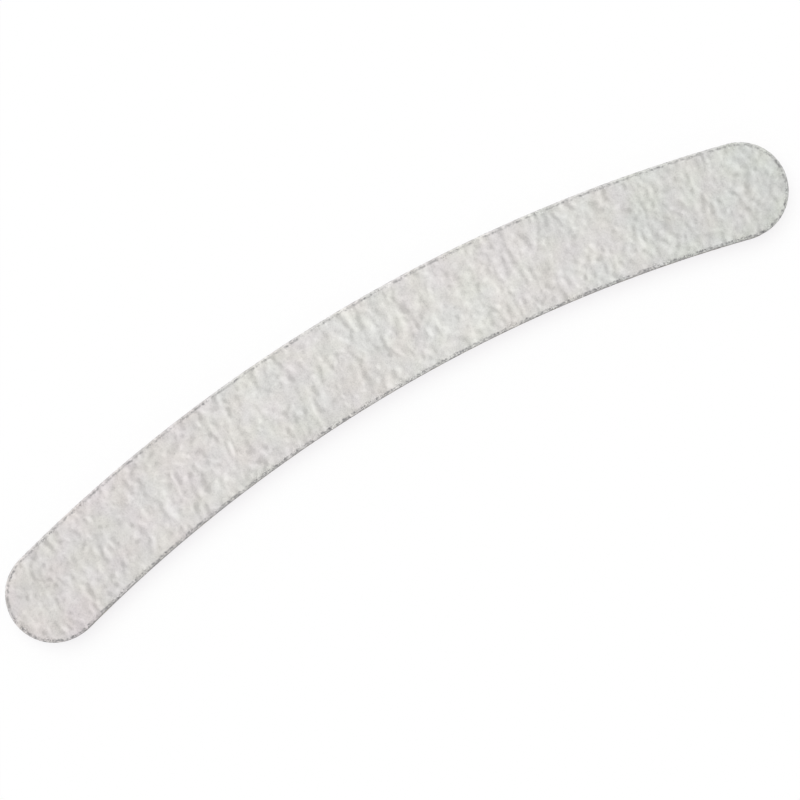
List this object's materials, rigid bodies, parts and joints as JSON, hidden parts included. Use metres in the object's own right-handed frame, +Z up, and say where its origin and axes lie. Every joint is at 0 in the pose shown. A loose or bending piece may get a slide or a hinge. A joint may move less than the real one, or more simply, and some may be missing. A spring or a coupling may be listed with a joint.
{
  "type": "emery board",
  "caption": "Crescent-shaped cushioned nail file: a plastic core between foam cushions, with coarse and fine abrasive paper on its two faces.",
  "frame": {"origin": "centre of the bounding box, on the lower face that the board rests on", "axes": "+X along the chord from tip to tip, +Y towards the outer side of the bend, +Z up through the thickness, coarse face up"},
  "size_m": [0.178, 0.0296, 0.004],
  "materials": {
    "dressing": "pale, dry and crinkled",
    "grain": "dark grain set in resin",
    "backing_paper": "matt, with a cut edge",
    "tape": "soft acrylic tape",
    "foam": "fine closed cells, matt",
    "core_plastic": "matt, with a cut edge"
  },
  "bodies": {
    "root": {"coarse_dressing": "dressing", "coarse_grain_layer": "grain", "coarse_backing_paper": "backing_paper", "coarse_paper_tape": "tape", "upper_foam_cushion": "foam", "upper_core_tape": "tape", "plastic_core": "core_plastic", "lower_core_tape": "tape", "lower_foam_cushion": "foam", "fine_paper_tape": "tape", "fine_backing_paper": "backing_paper", "fine_grain_layer": "grain", "fine_dressing": "dressing"}
  },
  "joints": []
}
